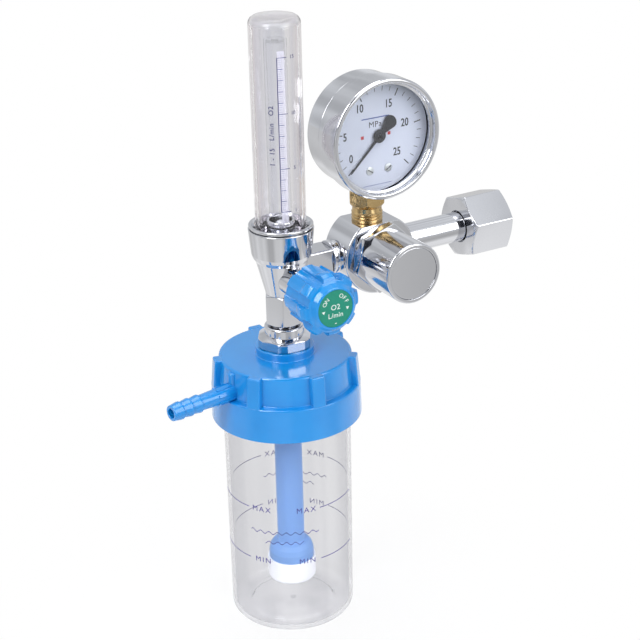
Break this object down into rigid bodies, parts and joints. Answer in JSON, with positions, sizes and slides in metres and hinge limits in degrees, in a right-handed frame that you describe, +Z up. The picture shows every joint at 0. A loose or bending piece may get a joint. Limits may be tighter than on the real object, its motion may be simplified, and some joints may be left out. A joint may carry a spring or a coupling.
{
  "type": "oxygen flowmeter with regulator and humidifier",
  "caption": "Medical oxygen flowmeter: chromed cylinder regulator with dial gauge, clear flow tube, needle valve knob and a humidifier bottle under a blue cap.",
  "frame": {"origin": "centre of the inlet nut's mouth, where the cylinder valve screws in", "axes": "+X out of the nut's mouth, -Y the side that gauge, bonnet and knob face, +Z up"},
  "size_m": [0.1978, 0.0884, 0.3156],
  "materials": {
    "chrome": "bright chrome plating over brass",
    "brass": "turned brass",
    "steel": "bright steel",
    "black_rubber": "moulded rubber",
    "copper_washer": "soft copper",
    "nylon": "white moulded plastic",
    "window_glass": "clear and flat",
    "clear_plastic": "clear and glossy",
    "dial_white": "white enamel, semi-gloss",
    "pointer_paint": "dark paint",
    "cap_blue": "glossy moulding",
    "knob_blue": "satin moulding",
    "dip_tube_blue": "translucent moulding",
    "diffuser_white": "white moulding",
    "label_green": "printed plastic disc"
  },
  "bodies": {
    "regulator": {"inlet_stem": "chrome", "regulator_body": "chrome", "bonnet": "chrome", "bonnet_plug": "chrome", "lock_ring": "chrome", "gauge_case": "chrome", "gauge_bezel": "chrome", "flowmeter_body": "chrome", "clamp_ring": "chrome", "gland_nut": "chrome", "outlet_tail": "chrome", "gauge_socket": "brass", "valve_nozzle": "brass", "spring_seat": "brass", "inlet_filter": "brass", "tube_tip": "brass", "movement_back_plate": "brass", "movement_front_plate": "brass", "plate_pillars": "brass", "hairspring": "brass", "bourdon_tube": "brass", "poppet_spring": "steel", "main_spring": "steel", "adjusting_screw": "steel", "dial_screws": "steel", "movement_screws": "steel", "diaphragm": "black_rubber", "cover_o_ring": "black_rubber", "window_gasket": "black_rubber", "lower_tube_seal": "black_rubber", "socket_washer": "copper_washer", "inlet_washer": "nylon", "upper_tube_seal": "nylon", "float_stop": "nylon", "gauge_window": "window_glass", "tube_cover": "clear_plastic", "metering_tube": "clear_plastic", "gauge_dial": "dial_white"},
    "inlet_nut": {"inlet_nut": "chrome"},
    "diaphragm_plate": {"diaphragm_plate": "brass"},
    "poppet": {"poppet": "brass"},
    "sector": {"sector_gear": "brass"},
    "tip_link": {"tip_link": "brass"},
    "pointer": {"pinion_arbor": "steel", "pointer": "pointer_paint"},
    "float": {"float_ball": "steel"},
    "spindle_seal": {"spindle_o_ring": "black_rubber"},
    "knob": {"valve_spindle": "brass", "knob": "knob_blue", "knob_screw": "steel", "knob_label": "label_green"},
    "coupling_nut": {"coupling_nut": "chrome"},
    "humidifier_head": {"humidifier_cap": "cap_blue", "dip_tube": "dip_tube_blue", "diffuser": "diffuser_white", "boss_washer": "nylon"},
    "bottle_seal": {"bottle_gasket": "nylon"},
    "bottle": {"bottle": "clear_plastic"}
  },
  "joints": [
    {"name": "inlet_nut_turn", "type": "hinge", "parent": "regulator", "child": "inlet_nut", "pos_m": [0, 0, 0], "axis": [1, 0, 0], "continuous": true},
    {"name": "diaphragm_lift", "type": "slide", "parent": "regulator", "child": "diaphragm_plate", "axis": [0, 1, 0], "range_m": [0, 0.0008], "stiffness_N_per_m": 1500, "deforming": ["diaphragm", "main_spring"]},
    {"name": "poppet_lift", "type": "slide", "parent": "regulator", "child": "poppet", "axis": [0, 1, 0], "range_m": [0, 0.0008], "deforming": ["poppet_spring"]},
    {"name": "sector_swing", "type": "hinge", "parent": "regulator", "child": "sector", "pos_m": [-0.079, 0, 0.049], "axis": [0, -1, 0], "range_deg": [0, 30], "stiffness_Nm_per_rad": 0.02},
    {"name": "tip_link_swing", "type": "hinge", "parent": "sector", "child": "tip_link", "pos_m": [-0.07207, 0, 0.04803], "axis": [0, -1, 0], "range_deg": [-30, 0]},
    {"name": "pointer_turn", "type": "hinge", "parent": "regulator", "child": "pointer", "pos_m": [-0.079, 0, 0.0615], "axis": [0, 1, 0], "range_deg": [0, 270]},
    {"name": "float_rise", "type": "slide", "parent": "regulator", "child": "float", "axis": [0, 0, 1], "range_m": [0, 0.087]},
    {"name": "knob_turn", "type": "hinge", "parent": "regulator", "child": "spindle_seal", "pos_m": [-0.128, 0, -0.0037], "axis": [0, -1, 0], "range_deg": [0, 540]},
    {"name": "knob_travel", "type": "slide", "parent": "spindle_seal", "child": "knob", "axis": [0, -1, 0], "range_m": [0, 0.0015]},
    {"name": "coupling_nut_turn", "type": "hinge", "parent": "regulator", "child": "coupling_nut", "pos_m": [-0.128, 0, -0.0305], "axis": [0, 0, 1], "continuous": true},
    {"name": "humidifier_turn", "type": "hinge", "parent": "regulator", "child": "humidifier_head", "pos_m": [-0.128, 0, -0.0405], "axis": [0, 0, 1], "continuous": true},
    {"name": "bottle_turn", "type": "hinge", "parent": "humidifier_head", "child": "bottle_seal", "pos_m": [-0.128, 0, -0.048], "axis": [0, 0, -1], "range_deg": [0, 540]},
    {"name": "bottle_travel", "type": "slide", "parent": "bottle_seal", "child": "bottle", "axis": [0, 0, -1], "range_m": [0, 0.0045]}
  ],
  "couplings": [
    {"joint": "poppet_lift", "follows": "diaphragm_lift", "ratio": 1},
    {"joint": "tip_link_swing", "follows": "sector_swing", "ratio": -1},
    {"joint": "pointer_turn", "follows": "sector_swing", "ratio": 9},
    {"joint": "knob_turn", "follows": "knob_travel", "rad_per_m": 6283.2},
    {"joint": "bottle_turn", "follows": "bottle_travel", "rad_per_m": 2094.4}
  ]
}
